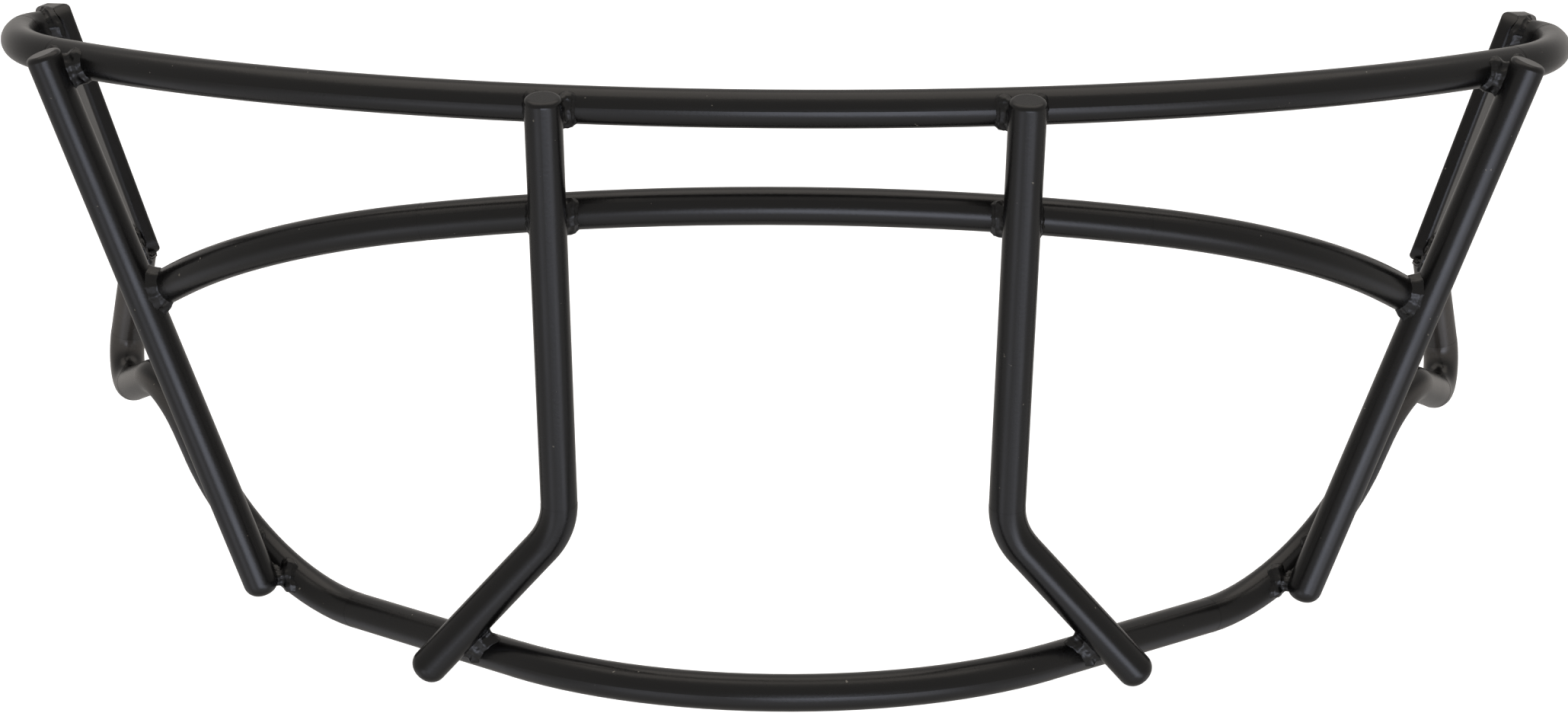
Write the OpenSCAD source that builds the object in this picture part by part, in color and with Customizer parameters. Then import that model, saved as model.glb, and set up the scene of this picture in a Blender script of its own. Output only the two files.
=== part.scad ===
// Wire face guard for a batting helmet: three curved bars, four uprights
// and two screw plates, joined by weld beads. Millimetres, +Z up. The front
// faces -Y, and the two halves mirror each other in the plane X = 0.

/* [Wire] */
// Diameter of every wire over its powder coat
wire_d = 5.5; // [4.8:0.1:6]
// Clear gap between two wires that cross, bridged by the weld beside it
weld_gap = 0.08; // [0.05:0.01:0.2]
// Rounding of the coat round the cut top of each upright
tip_r = 0.8; // [0.4:0.1:1.2]
// Rounding of each upright's foot, which is nearly a dome
foot_r = 2.2; // [0.8:0.1:2.3]

/* [Top bar] */
// Height of the top bar's axis above the bottom bar's underside
top_h = 89; // [80:1:100]
// Radius of the front curve in plan
top_r = 160; // [140:1:180]
// Half of the angle that the front curve turns through
top_turn = 43.4; // [40:0.2:46]
// Straight run between the front curve and the rear bend
top_run = 0.9; // [0.7:0.1:12]
// Radius of the bend that turns the bar back beside the helmet
back_r = 30; // [20:1:40]
// Straight run beside the helmet
back_run = 1.1; // [0.7:0.1:12]
// Radius of the tight bend that hooks in to the plate
hook_r = 7; // [6:0.5:10]
// Straight run from that bend to the plate
hook_run = 0.2; // [0:0.1:4]

/* [Middle bar] */
// Height of the middle bar's axis at its centre
mid_h = 74; // [72:0.1:77]
// Radius of its front curve
mid_r = 174; // [150:2:200]
// Half of the angle that the front curve turns through
mid_turn = 18; // [16:0.1:22]
// Half width at the corners where it drops back to the side uprights
mid_x = 77.4; // [74:0.2:84]
// Radius of the bend at those corners
mid_bend = 80; // [50:2:90]
// Height at which its ends meet the side uprights
mid_end_h = 51.8; // [49:0.1:57]
// How far its ends lie behind the axes of the side uprights
mid_behind = 4.5; // [2:0.5:5]

/* [Bottom bar] */
// Radius of the chin curve in plan
chin_r = 57.5; // [52:0.5:70]
// Distance of the chin curve's middle behind the top bar's
chin_y = -0.6; // [-2:0.1:3]
// How far the corner where the bar turns up lies outside the side upright
jaw_past = 3.2; // [1:0.2:5]
// Depth of that corner behind the middle of the top bar
jaw_y = 57.2; // [52:0.2:59]
// Radius of the bend at that corner
jaw_r = 26; // [18:1:26]
// How far the bar leads outwards as it rises from the corner
rise_out = 12.4; // [9:0.2:15]
// How far the bar comes forward as it rises
rise_fore = 9.2; // [6:0.2:12]
// Height where the bar turns back, behind the side upright
leg_h = 39; // [30:0.2:42]
// Radius of the bend there
leg_r = 6.5; // [5:0.5:8]
// Height of the lower rear bend
kick_h = 29; // [26:0.2:34]
// How far that bend lies outside the bar's end on the plate
kick_out = 5.2; // [4:0.2:9]
// How far that bend lies behind the bar's end on the plate
kick_back = 7.5; // [5:0.5:11]
// Radius of the lower rear bend
kick_r = 5.5; // [5:0.5:8]

/* [Centre uprights] */
// Half of the distance between their axes at the top bar
centre_x = 34.2; // [31:0.1:37]
// Half of the distance between their knees
knee_x = 33.1; // [30:0.1:37]
// Angle by which they lean back towards the chin
lean = 14; // [10:0.5:18]
// Height of the knee where they turn outwards
knee_h = 23.5; // [20:0.5:30]
// Radius of the knee
knee_r = 11; // [8:1:16]
// Distance from the chin curve's end to the foot of the upright
foot_run = 8.5; // [2:0.5:12]
// How far every upright runs past the axis of the top bar
top_over = 3.4; // [2:0.1:4]
// How far a centre upright runs past the bottom bar
foot_over = 8; // [4:0.5:9]

/* [Side uprights] */
// Distance along the top bar from a side upright to the front curve's end
side_inset = 4.2; // [1:0.2:12]
// How far the foot of a side upright stands in from its top
side_in = 30; // [26:0.2:34]
// Height of their lower ends
side_foot_h = 4; // [3:0.5:9]

/* [Plates] */
// Length of a plate
plate_l = 42.4; // [38:0.2:46]
// Width of a plate, front to back
plate_w = 16; // [14:0.5:18]
// Thickness of a plate
plate_t = 2.5; // [2:0.1:3.5]
// Corner radius of a plate
plate_corner = 2.5; // [1.5:0.5:4]
// Rounding of a plate's edges
plate_edge = 0.7; // [0.4:0.1:0.9]
// Angle by which a plate's rear edge stands out from its front edge
toe = 23.6; // [16:0.2:32]
// Angle by which a plate's top stands out from its foot
plate_lean = 18.7; // [12:0.1:22]
// Distance of the top bar's axis behind the plate's front edge
wire_in = 3.6; // [3.4:0.1:5]
// Plate above the axis of the top bar
plate_over = 3.3; // [3.2:0.1:5]
// Distance of the bottom bar's axis behind the plate's front edge
low_in = 0.4; // [0:0.2:3]
// Plate below the end of the bottom bar
plate_lap = 3; // [2:0.5:5]

/* [Screw holes] */
// Diameter of the screw holes
hole_d = 5.2; // [4.5:0.1:6]
// Distance between the two holes of a plate
hole_pitch = 22; // [18:0.5:24]
// Distance of the holes behind the plate's middle line
hole_back = 1.6; // [0:0.2:3]

/* [Weld beads] */
// Diameter of the ripples of a weld bead
bead_d = 2.6; // [2.4:0.1:2.8]
// Distance between two ripples
bead_step = 1.5; // [1.4:0.05:1.7]
// Height of a ripple's centre over the wire's surface
bead_lift = 0.4; // [0.2:0.1:0.6]

/* [Hidden] */
$fn = 48;
bend_fn = 360;
coat = "#2b2b2d";

// A bend stands this much proud of the straight runs that enter it by lap
proud = 0.02;
lap = 0.2;
passes = 5;
r = wire_d / 2;
pitch = wire_d + proud + weld_gap;
low_h = r + proud;
front = [0, -1, 0];

// Vectors
function unit(v) = v / norm(v);
function flip(p) = [-p.x, p.y, p.z];
function off_axis(v, d) = v - d * (v * d);
function facing(n, side) = n * side > 0 ? n : -n;
function between(b, d, side) = facing(unit(cross(b, d)), side);

// Top bar, right half
function top_at(turn) = [top_r * sin(turn), top_r * (1 - cos(turn)), top_h];
function top_dir(turn) = [cos(turn), sin(turn), 0];
function bend_run(bend, turn) = bend * tan(turn / 2);
top_side = bend_run(top_r, 2 * top_turn) + top_run + bend_run(back_r, 90 - top_turn);
top_apex = [0, top_r * (1 - 1 / cos(top_turn)), top_h];
top_back = top_apex + top_side * top_dir(top_turn);

// Plate: its outer face holds the ends of the top and the bottom bar
plate_up = [sin(plate_lean), 0, cos(plate_lean)];
plate_rear = [sin(toe) * cos(plate_lean), cos(toe), -sin(toe) * sin(plate_lean)];
plate_out = cross(plate_rear, plate_up);

// The top bar runs back beside the helmet and meets the plate square in plan
hook_in = unit([-plate_out.x, -plate_out.y, 0]);
hook_side = bend_run(hook_r, acos(hook_in.y));
top_hook = top_back + [0, bend_run(back_r, 90 - top_turn) + back_run + hook_side, 0];
top_end = top_hook + hook_in * (hook_side + hook_run);
plate_foot = plate_over - plate_l;
plate_origin = top_end + (plate_w / 2 - wire_in) * plate_rear;
low_end = plate_origin + (low_in - plate_w / 2) * plate_rear
    + (plate_foot + plate_lap) * plate_up;

// Side upright: its head, before the top bar
side_turn = top_turn - side_inset / top_r * 180 / PI;
side_cross = top_at(side_turn);
side_low_x = side_cross.x + pitch * sin(side_turn) - side_in;

// Bottom bar: from the chin curve a straight run to the jaw corner
function chin_turn(jaw) =
    let (v = [jaw.x, jaw.y - chin_y - chin_r])
    90 + atan2(v.y, v.x) - acos(chin_r / norm(v));
jaw = [side_low_x + jaw_past, jaw_y, low_h];
chin_angle = chin_turn(jaw);
chin_apex = [0, chin_y + chin_r * (1 - 1 / cos(chin_angle)), low_h];
chin_end = [chin_r * sin(chin_angle), chin_y + chin_r * (1 - cos(chin_angle)), low_h];
chin_heading = [cos(chin_angle), sin(chin_angle), 0];

// Bottom bar behind the side upright
leg = [jaw.x + rise_out, jaw.y - rise_fore, leg_h];
kick = [low_end.x + kick_out, low_end.y + kick_back, kick_h];
function corner_arc(a, b, c, bend, n) =
    let (u = unit(b - a), v = unit(c - b), turn = acos(u * v), w = unit(off_axis(v, u)))
    let (start = b - u * bend * tan(turn / 2))
    [for (i = [0:n]) let (t = turn * i / n)
        start + bend * (sin(t) * u + (1 - cos(t)) * w)];
low_path = whole(chin_apex, [jaw, leg, kick, low_end]);
low_bends = both(chin_r, [jaw_r, leg_r, kick_r]);
jaw_bend = trim(low_path, low_bends, 5) / tan(turn_at(low_path, 5) / 2);
jaw_path = corner_arc(chin_apex, jaw, leg, jaw_bend, 48);

// Side upright: seated before the top bar and before the jaw bend
function side_foot(y) = [side_low_x, y, low_h];
function side_out(y) =
    between(top_dir(side_turn), side_foot(y) - side_cross - pitch * front, front);
function side_head(y) = side_cross + pitch * side_out(y);
function side_dir(y) = unit(side_foot(y) - side_head(y));
function jaw_gaps(y) =
    [for (p = jaw_path) norm(off_axis(p - side_head(y), side_dir(y)))];
function side_seat(y, n) =
    n == 0 ? y : side_seat(y + min(jaw_gaps(y)) - pitch, n - 1);
side_y = side_seat(jaw_y - 2 * pitch, 2 * passes);
side_top = side_head(side_y);
side_down = side_dir(side_y);
function on_side(h) = side_top + side_down * (side_top.z - h) / -side_down.z;

// Where the jaw bend and the side upright pass closest
near_gaps = jaw_gaps(side_y);
near = [for (i = [1:47]) if (near_gaps[i] == min(near_gaps)) i][0];
jaw_cross = jaw_path[near];
jaw_dir = unit(jaw_path[near + 1] - jaw_path[near - 1]);
jaw_out = unit(off_axis(side_top - jaw_cross, side_down));

// Centre upright: before all three bars, with a knee over the chin
centre_down = unit([knee_x - centre_x, (top_h - knee_h) * tan(lean), knee_h - top_h]);
centre_turn = asin(centre_x / (top_r + pitch));
top_cross = top_at(centre_turn);
top_out = between(top_dir(centre_turn), centre_down, front);
centre_top = top_cross + pitch * top_out;
knee = centre_top + centre_down * (centre_top.z - knee_h) / -centre_down.z;
foot_cross = chin_end + chin_heading * foot_run;
function foot_normal(n, k) =
    k == 0 ? n
    : foot_normal(between(chin_heading, foot_cross + pitch * n - knee, front), k - 1);
foot_out = foot_normal(front, passes);
foot = foot_cross + pitch * foot_out;
foot_dir = unit(foot - knee);

// Middle bar: its plane drops back to the side uprights, and its front just
// clears the centre uprights before it
mid_end = on_side(mid_end_h) + [0, mid_behind, 0];
mid_cross_turn = asin(centre_x / (mid_r + pitch));
function fall(y) = unit([mid_end.y - y, mid_end.z - mid_h]);
function mid_place(y, x, sag) = [x, y + sag * fall(y).x, mid_h + sag * fall(y).y];
function mid_at(y) =
    mid_place(y, mid_r * sin(mid_cross_turn), mid_r * (1 - cos(mid_cross_turn)));
function mid_dir(y) =
    [cos(mid_cross_turn), sin(mid_cross_turn) * fall(y).x, sin(mid_cross_turn) * fall(y).y];
function mid_normal(y) = between(mid_dir(y), centre_down, front);
function mid_seat(y, n) =
    n == 0 ? y
    : let (gap = (centre_top - mid_at(y)) * mid_normal(y))
      mid_seat(y + (pitch - gap) / -mid_normal(y).y, n - 1);
mid_y = mid_seat(0, passes);
mid_apex_sag = mid_r * (1 - 1 / cos(mid_turn));
mid_apex = mid_place(mid_y, 0, mid_apex_sag);
mid_corner = mid_place(mid_y, mid_x, mid_apex_sag + mid_x * tan(mid_turn));
mid_along = unit(mid_end - mid_corner);

// Wires: straight runs between the points, with a round bend at each inner
// point, eased where two bends would run into each other
function reversed(list) = [for (i = [len(list) - 1:-1:0]) list[i]];
function whole(apex, half) = concat([for (p = reversed(half)) flip(p)], [apex], half);
function both(apex, half) = concat(reversed(half), [apex], half);
function turn_at(p, i) = acos(unit(p[i] - p[i - 1]) * unit(p[i + 1] - p[i]));
function inner(p, i) = i > 0 && i < len(p) - 1;
function run_in(p, bends, i) = inner(p, i) ? bends[i - 1] * tan(turn_at(p, i) / 2) : 0;
function room(p, bends, i) =
    (norm(p[i] - p[i - 1]) - 3 * lap) / (run_in(p, bends, i - 1) + run_in(p, bends, i));
function trim(p, bends, i) =
    inner(p, i) ? run_in(p, bends, i) * min(1, room(p, bends, i), room(p, bends, i + 1)) : 0;

module along(a, b) {
    d = unit(b - a);
    translate(a) rotate([0, acos(d.z), atan2(d.y, d.x)]) children();
}

// Half of a rod's section near its end at z = 0. Its rim is rounded by tip,
// and it looks up for side 1 or down for side -1
module end_section(tip, depth, side) {
    translate([0, side > 0 ? -depth : 0]) square([r - tip, depth]);
    translate([r - tip, -side * tip]) intersection() {
        circle(tip);
        translate([0, side > 0 ? 0 : -2 * tip]) square(2 * tip);
    }
}

// Round rod from a to b, with the rims of its two ends rounded by tips
module rod(a, b, tips) {
    l = norm(b - a);
    along(a, b) rotate_extrude() {
        translate([0, tips[0]]) square([r, l - tips[0] - tips[1]]);
        if (tips[0] > 0) end_section(tips[0], l / 2, -1);
        if (tips[1] > 0) translate([0, l]) end_section(tips[1], l / 2, 1);
    }
}

// Bend of the wire at b, on the way from a to c
module bend(a, b, c, run) {
    u = unit(b - a);
    v = unit(c - b);
    w = unit(off_axis(v, u));
    turn = acos(u * v);
    radius = run / tan(turn / 2);
    middle = b - u * run + w * radius;
    up = cross(-w, u);
    multmatrix([
        [-w.x, u.x, up.x, middle.x],
        [-w.y, u.y, up.y, middle.y],
        [-w.z, u.z, up.z, middle.z]
    ])
        rotate_extrude(angle = turn, $fn = bend_fn) translate([radius, 0])
            circle(r + proud, $fn = 48);
}

module wire(p, bends, tips) {
    last = len(p) - 1;
    for (i = [0:last - 1]) {
        d = unit(p[i + 1] - p[i]);
        a = p[i] + d * (i == 0 ? 0 : trim(p, bends, i) - lap);
        b = p[i + 1] - d * (i == last - 1 ? 0 : trim(p, bends, i + 1) - lap);
        rod(a, b, [i == 0 ? tips[0] : 0, i == last - 1 ? tips[1] : 0]);
    }
    for (i = [1:last - 1])
        bend(p[i - 1], p[i], p[i + 1], trim(p, bends, i));
}

// The whole guard stands on z = 0, with its depth centred on y = 0
top_tip = centre_top - centre_down * (top_over - tip_r);
depth_front = top_tip.y - (r - tip_r) * cos(lean) - tip_r;
depth_back = plate_origin.y + (plate_w / 2 - plate_edge) * plate_rear.y
    - (plate_t - plate_edge) * plate_out.y
    + plate_edge * norm([plate_rear.y, plate_out.y]);
foot_tip = foot + foot_dir * (foot_over - foot_r);
foot_low = foot_tip.z - (r - foot_r) * norm([foot_dir.x, foot_dir.y]) - foot_r;
seat = [0, -(depth_front + depth_back) / 2, -min(0, foot_low)];

// What follows is drawn on the right. The left one is its mirror image
module half(side) {
    mirror([side < 0 ? 1 : 0, 0, 0]) children();
}

module top_wire() {
    wire(whole(top_apex, [top_back, top_hook, top_end + hook_in * plate_t / 2]),
        both(top_r, [back_r, hook_r]), [0, 0]);
}

module bottom_wire() {
    wire(low_path, low_bends, [0, 0]);
}

// The middle bar ends behind the side uprights, where it is coped
module middle_wire() {
    wire(whole(mid_apex, [mid_corner, mid_end - mid_along * r / 2]),
        both(mid_r, [mid_bend]), [0, 0]);
}

module centre_wire() {
    wire([centre_top - centre_down * top_over, knee, foot + foot_dir * foot_over],
        [knee_r], [tip_r, foot_r]);
}

module side_wire() {
    rod(side_top - side_down * top_over, on_side(side_foot_h), [tip_r, foot_r]);
}

module rounded(size, corner) {
    square([size.x - 2 * corner, size.y], center = true);
    square([size.x, size.y - 2 * corner], center = true);
    for (x = [-1, 1], y = [-1, 1])
        translate([x * (size.x / 2 - corner), y * (size.y / 2 - corner)])
            circle(corner);
}

// Plate coordinates: x to the rear, y up along the plate, z outwards
module on_plate() {
    multmatrix([
        [plate_rear.x, plate_up.x, plate_out.x, plate_origin.x],
        [plate_rear.y, plate_up.y, plate_out.y, plate_origin.y],
        [plate_rear.z, plate_up.z, plate_out.z, plate_origin.z]
    ]) translate([0, (plate_over + plate_foot) / 2]) children();
}

module plate_blank() {
    intersection() {
        linear_extrude(plate_t + 1, center = true) rounded([plate_w, plate_l], plate_corner);
        rotate([90, 0, 0]) linear_extrude(plate_l + 1, center = true)
            rounded([plate_w, plate_t], plate_edge);
        rotate([90, 0, 90]) linear_extrude(plate_w + 1, center = true)
            rounded([plate_l, plate_t], plate_edge);
    }
}

module drilled_plate() {
    on_plate() translate([0, 0, -plate_t / 2]) difference() {
        plate_blank();
        for (y = [-1, 1])
            translate([hole_back, y * hole_pitch / 2])
                cylinder(d = hole_d, h = 2 * plate_t, center = true);
    }
}

// Clears wires and beads from the plate and from the space behind it
module behind_plate() {
    on_plate() translate([-plate_w, -plate_l / 2, -3 * plate_t])
        cube([2 * plate_w, 1.5 * plate_l, 3 * plate_t]);
}

// Weld beads: ripples in a row, where each one laps only its neighbours
module bead(points) {
    for (p = points) translate(p) sphere(d = bead_d);
}

// A row lies on an arc of this radius, and runs this far under the upright
rise = r + bead_lift;
bead_under = 0.2;

// Ripples of a row, in steps below the line where bar and upright touch. The
// jaw's row ends at the foot of its upright
row_steps = [-1.5, -0.5, 0.5, 1.5];
jaw_steps = [-2.5, -1.5, -0.5];

// A row of ripples round the bar at c, beside the upright before it
function row(c, bar, n, upright, side, steps) =
    let (w = cross(bar, n), k = (upright * bar) / (upright * w))
    let (beside = (r - bead_under) * norm([1, k]), step = bead_step / rise * 180 / PI)
    [for (i = steps) let (t = i * step)
        c + rise * (cos(t) * n + sin(t) * w) + bar * (side * beside + rise * sin(t) * k)];

module cross_weld(c, bar, n, upright, steps) {
    for (side = [-1, 1]) bead(row(c, bar, n, upright, side, steps));
}

// A closed row round an end that meets a face
ring_count = floor(2 * PI * rise / bead_step);
function ring(c, d, u) =
    let (e = unit(off_axis(u, d)), f = cross(d, e))
    [for (i = [0:ring_count - 1]) let (t = i * 360 / ring_count)
        c + rise * (cos(t) * e + sin(t) * f)];

// The same row where the end is coped to a side upright: each ripple is set
// back along d to the upright's side, and left out where it would miss it or
// only graze it
saddle_r = rise + bead_under / 2;
graze = 0.25;
function cope(row, d) =
    [for (p = row)
        let (v = off_axis(p - side_top, side_down), w = off_axis(d, side_down))
        let (room = (v * w) ^ 2 - (w * w) * (v * v - saddle_r ^ 2))
        if (room > graze * (w * w) * saddle_r ^ 2) p - d * (v * w + sqrt(room)) / (w * w)];

// An arch of ripples round the bottom bar's end, on the plate's outer face
foot_lay = unit(off_axis(low_end - kick, plate_out));
foot_side = cross(foot_lay, plate_out);
arch_ripples = 8;
arch_l = 3.4;
arch_back = 2.4;
arch = [for (i = [0:arch_ripples - 1]) let (t = 180 * i / (arch_ripples - 1))
    low_end + plate_out * bead_lift + foot_side * rise * cos(t)
        + foot_lay * (arch_l * sin(t) - arch_back)];

// The sub-parts
module top_bar() {
    color(coat) translate(seat) difference() {
        top_wire();
        for (side = [-1, 1]) half(side) behind_plate();
    }
}

module middle_bar() {
    color(coat) translate(seat) difference() {
        middle_wire();
        for (side = [-1, 1]) half(side) side_wire();
    }
}

module bottom_bar() {
    color(coat) translate(seat) difference() {
        bottom_wire();
        for (side = [-1, 1]) half(side) behind_plate();
    }
}

module centre_upright(side) {
    color(coat) translate(seat) half(side) centre_wire();
}

module side_upright(side) {
    color(coat) translate(seat) half(side) side_wire();
}

module mount_plate(side) {
    color(coat) translate(seat) half(side) drilled_plate();
}

module weld_top_centre(side) {
    color(coat) translate(seat) half(side) difference() {
        cross_weld(top_cross, top_dir(centre_turn), top_out, centre_down, row_steps);
        top_wire();
        centre_wire();
    }
}

module weld_middle_centre(side) {
    color(coat) translate(seat) half(side) difference() {
        cross_weld(mid_at(mid_y), mid_dir(mid_y), mid_normal(mid_y), centre_down, row_steps);
        middle_wire();
        centre_wire();
    }
}

module weld_bottom_centre(side) {
    color(coat) translate(seat) half(side) difference() {
        cross_weld(foot_cross, chin_heading, foot_out, foot_dir, row_steps);
        bottom_wire();
        centre_wire();
    }
}

module weld_top_side(side) {
    color(coat) translate(seat) half(side) difference() {
        cross_weld(side_cross, top_dir(side_turn), side_out(side_y), side_down, row_steps);
        top_wire();
        side_wire();
    }
}

module weld_middle_side(side) {
    color(coat) translate(seat) half(side) difference() {
        bead(cope(ring(mid_end, mid_along, side_down), mid_along));
        middle_wire();
        side_wire();
    }
}

module weld_bottom_side(side) {
    color(coat) translate(seat) half(side) difference() {
        cross_weld(jaw_cross, jaw_dir, jaw_out, side_down, jaw_steps);
        bottom_wire();
        side_wire();
    }
}

module weld_plate_top(side) {
    color(coat) translate(seat) half(side) difference() {
        bead(ring(top_end + plate_out * bead_lift, plate_out, plate_up));
        top_wire();
        behind_plate();
    }
}

module weld_plate_foot(side) {
    color(coat) translate(seat) half(side) difference() {
        bead(arch);
        bottom_wire();
        behind_plate();
    }
}

top_bar();
middle_bar();
bottom_bar();
centre_upright(-1);  // centre_upright_left
centre_upright(1);  // centre_upright_right
side_upright(-1);  // side_upright_left
side_upright(1);  // side_upright_right
mount_plate(-1);  // mount_plate_left
mount_plate(1);  // mount_plate_right
weld_top_centre(-1);  // weld_top_centre_left
weld_top_centre(1);  // weld_top_centre_right
weld_middle_centre(-1);  // weld_middle_centre_left
weld_middle_centre(1);  // weld_middle_centre_right
weld_bottom_centre(-1);  // weld_bottom_centre_left
weld_bottom_centre(1);  // weld_bottom_centre_right
weld_top_side(-1);  // weld_top_side_left
weld_top_side(1);  // weld_top_side_right
weld_middle_side(-1);  // weld_middle_side_left
weld_middle_side(1);  // weld_middle_side_right
weld_bottom_side(-1);  // weld_bottom_side_left
weld_bottom_side(1);  // weld_bottom_side_right
weld_plate_top(-1);  // weld_plate_top_left
weld_plate_top(1);  // weld_plate_top_right
weld_plate_foot(-1);  // weld_plate_foot_left
weld_plate_foot(1);  // weld_plate_foot_right
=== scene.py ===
# Dresses a batting helmet's wire face guard: bent steel wire and two flat
# screw plates, welded together and powder coated black, seen from the front.
import math

import bmesh
import bpy
from mathutils import Matrix, Vector, noise
from mathutils.bvhtree import BVHTree


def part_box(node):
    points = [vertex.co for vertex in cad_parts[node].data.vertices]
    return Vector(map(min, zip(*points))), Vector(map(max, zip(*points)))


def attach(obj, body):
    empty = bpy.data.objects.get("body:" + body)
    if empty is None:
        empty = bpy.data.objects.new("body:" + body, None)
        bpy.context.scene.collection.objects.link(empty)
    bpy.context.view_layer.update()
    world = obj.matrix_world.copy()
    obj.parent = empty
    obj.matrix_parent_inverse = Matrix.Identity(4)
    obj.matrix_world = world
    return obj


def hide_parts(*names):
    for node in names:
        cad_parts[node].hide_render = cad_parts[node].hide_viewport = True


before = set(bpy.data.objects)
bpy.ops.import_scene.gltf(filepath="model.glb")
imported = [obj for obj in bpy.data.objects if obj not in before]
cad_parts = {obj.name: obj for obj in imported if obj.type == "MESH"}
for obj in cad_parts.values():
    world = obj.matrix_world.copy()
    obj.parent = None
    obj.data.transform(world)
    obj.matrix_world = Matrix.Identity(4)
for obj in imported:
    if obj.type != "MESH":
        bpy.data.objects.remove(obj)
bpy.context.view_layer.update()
MM = 0.001

# Camera: level with the guard's front, a little above it, as in the photo
PHOTO_W = 2059
FOCAL_PX = 5489.5
SENSOR_MM = 36.0
NEAR_CLIP = 50 * MM
FAR_CLIP = 30000 * MM
AIM = Vector((0.0, -40.33, 54.74)) * MM
DISTANCE = 600 * MM
LOOK_DOWN = math.radians(13.0)
ROLL = math.radians(0.33)


def add_camera():
    data = bpy.data.cameras.new("photo_camera")
    data.sensor_width = SENSOR_MM
    data.lens = FOCAL_PX / PHOTO_W * SENSOR_MM
    data.clip_start = NEAR_CLIP
    data.clip_end = FAR_CLIP
    camera = bpy.data.objects.new("photo_camera", data)
    bpy.context.scene.collection.objects.link(camera)
    back = Vector((0.0, -math.cos(LOOK_DOWN), math.sin(LOOK_DOWN)))
    camera.matrix_world = (Matrix.Translation(AIM + DISTANCE * back)
                           @ Matrix.Rotation(math.pi / 2 - LOOK_DOWN, 4, "X")
                           @ Matrix.Rotation(ROLL, 4, "Z"))
    bpy.context.scene.camera = camera


# Materials
def linear(code):
    """The linear colour of an sRGB hex value, opaque."""
    parts = [int(code[i:i + 2], 16) / 255 for i in (1, 3, 5)]
    return (*[c / 12.92 if c <= 0.04045 else ((c + 0.055) / 1.055) ** 2.4 for c in parts], 1.0)


def add_node(tree, kind, settings=None, **links):
    """Adds a node, sets its attributes and inputs, and links what is a socket.
    An input is named, or given as i and its number."""
    node = tree.nodes.new(kind)
    for name, value in (settings or {}).items():
        setattr(node, name, value)
    for name, value in links.items():
        key = int(name[1:]) if name[0] == "i" and name[1:].isdigit() else name.replace("_", " ")
        socket = node.inputs[key]
        if isinstance(value, bpy.types.NodeSocket):
            tree.links.new(value, socket)
        else:
            socket.default_value = value
    return node


def new_material(name):
    material = bpy.data.materials.new(name)
    material.use_nodes = True
    material.node_tree.nodes.clear()
    return material, material.node_tree


# Powder coat: polyester powder, sprayed dry and baked. Its orange peel is
# 0.4 to 0.5 mm across, and its gloss is cloudy over patches of 14 mm
SPECK_COLOUR = "#8a8680"
SPECK_SIZE = 0.9 * MM
CLOUD_SIZE = 14 * MM
# Painted light: a pale tone painted on the steep sides of the rear loops, for light from
# behind, weaker low down
PAINTED_SHEEN = "#6c6967"
SHEEN_FROM = 89 * MM
SHEEN_ALL = 95 * MM
SHEEN_LOW = 30 * MM
SHEEN_HIGH = 44 * MM
SHEEN_AT_LOW = 0.3


def add_painted_sheen(tree, place, tone):
    """Painted light: a pale sheen painted on the outer ends of the wire, on its
    steep sides only, and less of it low down, standing for light from behind."""
    parts = add_node(tree, "ShaderNodeSeparateXYZ", Vector=place).outputs
    out = add_node(tree, "ShaderNodeMath", {"operation": "ABSOLUTE"}, i0=parts["X"])
    high = add_node(tree, "ShaderNodeMapRange", Value=parts["Z"], From_Min=SHEEN_LOW,
                    From_Max=SHEEN_HIGH, To_Min=SHEEN_AT_LOW, To_Max=1.0)
    rear = add_node(tree, "ShaderNodeMapRange", {"interpolation_type": "SMOOTHSTEP"},
                    Value=out.outputs["Value"], From_Min=SHEEN_FROM, From_Max=SHEEN_ALL,
                    To_Max=high.outputs["Result"])
    facing = add_node(tree, "ShaderNodeNewGeometry").outputs["Normal"]
    up = add_node(tree, "ShaderNodeSeparateXYZ", Vector=facing).outputs["Z"]
    steep = add_node(tree, "ShaderNodeMath", {"operation": "ABSOLUTE"}, i0=up)
    kept = add_node(tree, "ShaderNodeMapRange", {"interpolation_type": "SMOOTHSTEP"},
                    Value=steep.outputs["Value"], From_Min=0.1, From_Max=0.6,
                    To_Min=rear.outputs["Result"], To_Max=0.0)
    # Input 7 is the second colour of the mix, and 6 the first
    return add_node(tree, "ShaderNodeMix", {"data_type": "RGBA"}, i0=kept.outputs["Result"],
                    i6=tone, i7=linear(PAINTED_SHEEN)).outputs["Result"]


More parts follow.
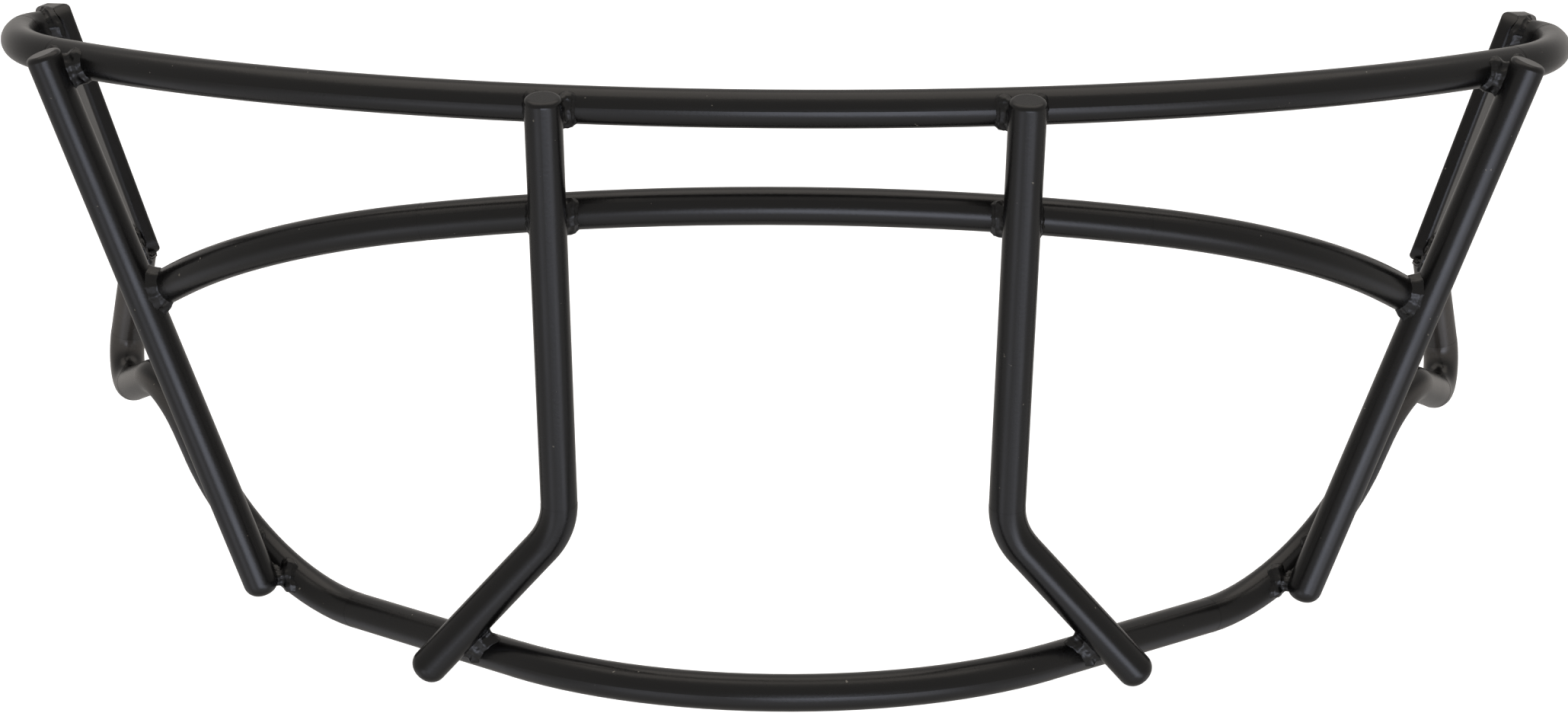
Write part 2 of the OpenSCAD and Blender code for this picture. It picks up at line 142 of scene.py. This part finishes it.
def powder_coat(name, colour, peel_mm, peel_height_mm, roughness, with_painted_sheen=False):
    """A satin skin with a fine orange peel, and a few pale specks."""
    material, tree = new_material(name)
    place = add_node(tree, "ShaderNodeTexCoord").outputs["Object"]
    peel = add_node(tree, "ShaderNodeTexNoise", Vector=place, Scale=1 / (peel_mm * MM),
                    Detail=2.0, Roughness=0.55)
    clouds = add_node(tree, "ShaderNodeTexNoise", Vector=place, Scale=1 / CLOUD_SIZE,
                      Detail=3.0, Roughness=0.6)
    gloss = add_node(tree, "ShaderNodeMapRange", Value=clouds.outputs["Fac"],
                     From_Min=0.35, From_Max=0.65, To_Min=roughness - 0.03,
                     To_Max=roughness + 0.04)
    motes = add_node(tree, "ShaderNodeTexNoise", Vector=place, Scale=1 / SPECK_SIZE,
                     Detail=1.0)
    specks = add_node(tree, "ShaderNodeMapRange", Value=motes.outputs["Fac"],
                      From_Min=0.79, From_Max=0.82)
    tone = add_node(tree, "ShaderNodeMix", {"data_type": "RGBA"},
                    i0=specks.outputs["Result"], i6=linear(colour),
                    i7=linear(SPECK_COLOUR)).outputs["Result"]
    # Painted light: a pale sheen on the steep sides of the rear loops
    if with_painted_sheen:
        tone = add_painted_sheen(tree, place, tone)
    bump = add_node(tree, "ShaderNodeBump", Strength=1.0, Distance=peel_height_mm * MM,
                    Height=peel.outputs["Fac"])
    coat = add_node(tree, "ShaderNodeBsdfPrincipled", Base_Color=tone,
                    Roughness=gloss.outputs["Result"], Normal=bump.outputs["Normal"], IOR=1.5)
    add_node(tree, "ShaderNodeOutputMaterial", Surface=coat.outputs["BSDF"])
    return material


# On bent wire the coat flows out well: soft, narrow highlights along the bars
wire_coat = powder_coat("satin_powder_coat_on_wire", "#131314", 0.5, 0.012, 0.25)
# On flat plate it is thinner and duller, with a broad, weak sheen
plate_coat = powder_coat("satin_powder_coat_on_plate", "#161515", 0.5, 0.014, 0.34)
# The same wire, with a pale sheen painted on the sides of its rear loops, standing for light
# from behind
loop_coat = powder_coat("powder_coat_on_wire_with_painted_sheen", "#131314", 0.5, 0.012, 0.25, with_painted_sheen=True)
# Over weld metal it is lumpier, so that the ripples glint
weld_coat = powder_coat("satin_powder_coat_on_weld", "#121213", 0.4, 0.02, 0.28)

COATS = {"bottom_bar": loop_coat, "mount_plate_left": plate_coat,
         "mount_plate_right": plate_coat}


def dress_nodes():
    for name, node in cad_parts.items():
        node.data.materials.clear()
        node.data.materials.append(COATS.get(name, wire_coat))


# Welds: the CAD's ripples, run together with the wires that they join into one
# soft skin, and then set back so that only the bead stands out of the wires
JOINTS = {
    "weld_top_centre": ("top_bar", "centre_upright"),
    "weld_middle_centre": ("middle_bar", "centre_upright"),
    "weld_bottom_centre": ("bottom_bar", "centre_upright"),
    "weld_top_side": ("top_bar", "side_upright"),
    "weld_middle_side": ("middle_bar", "side_upright"),
    "weld_bottom_side": ("bottom_bar", "side_upright"),
    "weld_plate_top": ("top_bar", "mount_plate"),
    "weld_plate_foot": ("bottom_bar", "mount_plate"),
}
# Each joint is remeshed in voxels of this size, with this much wire round it
VOXEL = 0.16 * MM
AROUND = 2.0 * MM
# Radius of the fillet between filler and wire, and how often it is smoothed
THROAT = 0.4 * MM
SMOOTH_FILLET = 3
SMOOTH_BEAD = 7
# How much the CAD's ripples are thinned, towards the middle and away from it
SLIM_INNER = 0.65 * MM
SLIM_OUTER = 0.75 * MM
# A bead shows where it is this proud of the wires, fully so after the step,
# and within this reach of its ripples, less and less over the fade
PROUD_FROM = 0.02 * MM
PROUD_STEP = 0.1 * MM
REACH = 1.5 * MM
FADE = 0.5 * MM
# Elsewhere its skin lies this deep in the metal
SUNK = 0.4 * MM
# Lumps that the weld pool left, across and in height, and the bead's set-back
LUMP_SIZE = 0.8 * MM
LUMP_HEIGHT = 0.04 * MM
SET_BACK = 0.01 * MM


def node_skin(name):
    """A closed copy of a CAD node's mesh."""
    skin = bmesh.new()
    skin.from_mesh(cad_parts[name].data)
    bmesh.ops.remove_doubles(skin, verts=skin.verts, dist=0.001 * MM)
    return skin


def cut_to_box(skin, low, high):
    """Cuts a closed skin to a box, and closes it again at each cut."""
    for axis in range(3):
        for corner, sign in ((low, -1), (high, 1)):
            outwards = Vector((0, 0, 0))
            outwards[axis] = sign
            cut = bmesh.ops.bisect_plane(
                skin, geom=skin.verts[:] + skin.edges[:] + skin.faces[:],
                plane_co=corner, plane_no=outwards, clear_outer=True)["geom_cut"]
            rim = [part for part in cut if isinstance(part, bmesh.types.BMEdge)]
            if rim:
                bmesh.ops.holes_fill(skin, edges=rim)
    bmesh.ops.triangulate(skin, faces=skin.faces)


def add_mesh(bm, other):
    mesh = bpy.data.meshes.new("part")
    other.to_mesh(mesh)
    bm.from_mesh(mesh)
    bpy.data.meshes.remove(mesh)


def remeshed(bm):
    """One skin round all that bm holds, in even quads."""
    mesh = bpy.data.meshes.new("skin")
    bm.to_mesh(mesh)
    holder = bpy.data.objects.new("skin", mesh)
    bpy.context.scene.collection.objects.link(holder)
    remesh = holder.modifiers.new("voxels", "REMESH")
    remesh.mode = "VOXEL"
    remesh.voxel_size = VOXEL
    done = holder.evaluated_get(bpy.context.evaluated_depsgraph_get()).to_mesh()
    out = bmesh.new()
    out.from_mesh(done)
    bpy.data.objects.remove(holder)
    return out


def softened(bm, times):
    for _ in range(times):
        bmesh.ops.smooth_vert(bm, verts=bm.verts, factor=0.5,
                              use_axis_x=True, use_axis_y=True, use_axis_z=True)
    bm.normal_update()


def swell(bm, reach):
    """Moves every vertex along its normal by reach."""
    bm.normal_update()
    for vert, way in [(vert, vert.normal.copy()) for vert in bm.verts]:
        vert.co += way * reach


def slim_ripples(name):
    """The CAD's ripples, thinned to a ridge with nubs. The inner row of a joint
    is a little thicker than the outer row."""
    ripples = node_skin(name)
    middle = sum(abs(corner[0]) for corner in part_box(name)) / 2
    ripples.normal_update()
    slims = [SLIM_INNER if abs(vert.co.x) < middle else SLIM_OUTER for vert in ripples.verts]
    ways = [vert.normal.copy() for vert in ripples.verts]
    for vert, way, slim in zip(ripples.verts, ways, slims):
        vert.co -= way * slim
    return ripples


def share(value):
    return min(max(value, 0), 1)


def settle(bead, surface, filler):
    """Leaves the bead where filler shows, and sinks the rest of its skin."""
    places = []
    for vert in bead.verts:
        near, normal, _, gap = surface.find_nearest(vert.co)
        proud = gap if (vert.co - near).dot(normal) > 0 else -gap
        far = filler.find_nearest(vert.co)[3]
        shown = share((proud - PROUD_FROM) / PROUD_STEP) * share((REACH - far) / FADE)
        lump = noise.fractal(vert.co / LUMP_SIZE, 1.0, 2.0, 2)
        bare = vert.co + vert.normal * (LUMP_HEIGHT * lump - SET_BACK)
        hidden = near - normal * SUNK if proud > -SUNK else vert.co
        places.append(hidden.lerp(bare, shown))
    for vert, place in zip(bead.verts, places):
        vert.co = place


def weld_bead(name, wires):
    """The bead that stands for a CAD weld node, in the place of that node."""
    low, high = [Vector(corner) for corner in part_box(name)]
    low -= Vector([AROUND] * 3)
    high += Vector([AROUND] * 3)
    metal = bmesh.new()
    whole = bmesh.new()
    for wire in wires:
        part = node_skin(wire)
        add_mesh(whole, part)
        cut_to_box(part, low, high)
        add_mesh(metal, part)
    ripples = slim_ripples(name)
    add_mesh(metal, ripples)

    skin = remeshed(metal)
    swell(skin, THROAT)
    bead = remeshed(skin)
    softened(bead, SMOOTH_FILLET)
    swell(bead, -THROAT)
    softened(bead, SMOOTH_BEAD)
    settle(bead, BVHTree.FromBMesh(whole), BVHTree.FromBMesh(ripples))

    mesh = bpy.data.meshes.new(name + "_bead")
    bead.to_mesh(mesh)
    mesh.shade_smooth()
    mesh.materials.append(weld_coat)
    piece = bpy.data.objects.new(name + "_bead", mesh)
    bpy.context.scene.collection.objects.link(piece)
    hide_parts(name)
    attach(piece, "root")


def add_welds():
    for joint, wires in JOINTS.items():
        for side in ("left", "right"):
            names = [wire if wire.endswith("bar") else f"{wire}_{side}" for wire in wires]
            weld_bead(f"{joint}_{side}", names)


# Stage: a white floor that keeps a soft shadow. Gloss doesn't see it: the coat
# mirrors the studio all round, whose panels of light are given by direction
FLOOR_SIZE = 6000 * MM
FLOOR_DROP = 0.3 * MM


def add_floor():
    bpy.ops.mesh.primitive_plane_add(size=FLOOR_SIZE, location=(0, 0, -FLOOR_DROP))
    floor = bpy.context.object
    floor.name = "floor"
    material, tree = new_material("white_floor")
    rays = add_node(tree, "ShaderNodeLightPath")
    matt = add_node(tree, "ShaderNodeBsdfDiffuse", Color=linear("#bcbcbc"))
    glow = add_node(tree, "ShaderNodeEmission", Color=linear("#ffffff"),
                    Strength=rays.outputs["Is Camera Ray"])
    lit = add_node(tree, "ShaderNodeAddShader", i0=matt.outputs["BSDF"],
                   i1=glow.outputs["Emission"])
    clear = add_node(tree, "ShaderNodeBsdfTransparent")
    both = add_node(tree, "ShaderNodeMixShader", i0=rays.outputs["Is Glossy Ray"],
                    i1=lit.outputs["Shader"], i2=clear.outputs["BSDF"])
    add_node(tree, "ShaderNodeOutputMaterial", Surface=both.outputs["Shader"])
    floor.data.materials.append(material)


ROOM_TONE = "#a6a3a0"
# Each panel of light: its tint, the direction of its middle, how far it reaches
# from there along X, Y and Z, and its strength
PANELS = [
    # Ceiling
    ("#fff4e8", (0.0, 0.1, 1.0), (1.1, 0.8, 0.5), 0.25),
    # Tall bright panel, low before the guard and a little to the right
    ("#e6ecff", (0.17, -1.0, -0.34), (0.42, 1.0, 0.28), 2.7),
    # Wide pale panel, low before the guard
    ("#f2f4ff", (0.0, -0.8, -0.62), (1.5, 1.0, 0.5), 0.4),
    # Low reflectors before the guard, left and right
    ("#ebefff", (-0.55, -0.65, -0.5), (0.25, 0.4, 0.25), 0.5),
    ("#ebefff", (0.55, -0.65, -0.5), (0.25, 0.4, 0.25), 1.0),
    # Low reflectors behind it, right and left
    ("#ebefff", (0.80, 0.30, -0.66), (0.42, 0.5, 0.27), 0.25),
    ("#ebefff", (-0.80, 0.30, -0.66), (0.42, 0.5, 0.27), 0.25),
    # Wall behind it
    ("#fff7ef", (0.0, 1.0, 0.0), (1.2, 0.8, 0.5), 0.2),
]
# A panel is even to this share of its reach, and gone at the next
PANEL_EVEN = 0.3
PANEL_GONE = 1.2


def add_world():
    """The studio that the coat mirrors, with white before the camera only."""
    world = bpy.data.worlds.new("studio")
    bpy.context.scene.world = world
    world.use_nodes = True
    tree = world.node_tree
    tree.nodes.clear()
    rays = add_node(tree, "ShaderNodeLightPath")
    way = add_node(tree, "ShaderNodeTexCoord").outputs["Generated"]
    light = linear(ROOM_TONE)[:3]
    for tint, centre, reach, gain in PANELS:
        near = add_node(tree, "ShaderNodeVectorMath", {"operation": "MULTIPLY_ADD"}, i0=way,
                        i1=tuple(1 / r for r in reach),
                        i2=tuple(-c / r for c, r in zip(centre, reach)))
        away = add_node(tree, "ShaderNodeVectorMath", {"operation": "LENGTH"},
                        i0=near.outputs["Vector"])
        part = add_node(tree, "ShaderNodeMapRange", {"interpolation_type": "SMOOTHSTEP"},
                        Value=away.outputs["Value"], From_Min=PANEL_EVEN, From_Max=PANEL_GONE,
                        To_Min=gain, To_Max=0.0)
        light = add_node(tree, "ShaderNodeVectorMath", {"operation": "MULTIPLY_ADD"},
                         i0=part.outputs["Result"], i1=linear(tint)[:3],
                         i2=light).outputs["Vector"]
    room = add_node(tree, "ShaderNodeBackground", Color=light)
    white = add_node(tree, "ShaderNodeBackground", Color=linear("#ffffff"))
    shown = add_node(tree, "ShaderNodeMixShader", i0=rays.outputs["Is Camera Ray"],
                     i1=room.outputs["Background"], i2=white.outputs["Background"])
    add_node(tree, "ShaderNodeOutputWorld", Surface=shown.outputs["Shader"])


SOFTBOX_PLACE = Vector((0, 80, 1200)) * MM
SOFTBOX_SIZE = (2000 * MM, 1150 * MM)
SOFTBOX_WATTS = 4.0
SOFTBOX_TINT = "#fff6ec"


def add_softbox():
    """A large soft lamp overhead, which gives the floor its faint shadow."""
    light = bpy.data.lights.new("top_softbox", "AREA")
    light.shape = "RECTANGLE"
    light.size, light.size_y = SOFTBOX_SIZE
    light.energy = SOFTBOX_WATTS
    light.color = linear(SOFTBOX_TINT)[:3]
    lamp = bpy.data.objects.new("top_softbox", light)
    bpy.context.scene.collection.objects.link(lamp)
    lamp.location = SOFTBOX_PLACE
    lamp.rotation_euler = (AIM - SOFTBOX_PLACE).to_track_quat("-Z", "Y").to_euler()


add_camera()
dress_nodes()
add_welds()
add_floor()
add_world()
add_softbox()
bpy.context.scene.view_settings.view_transform = "Standard"
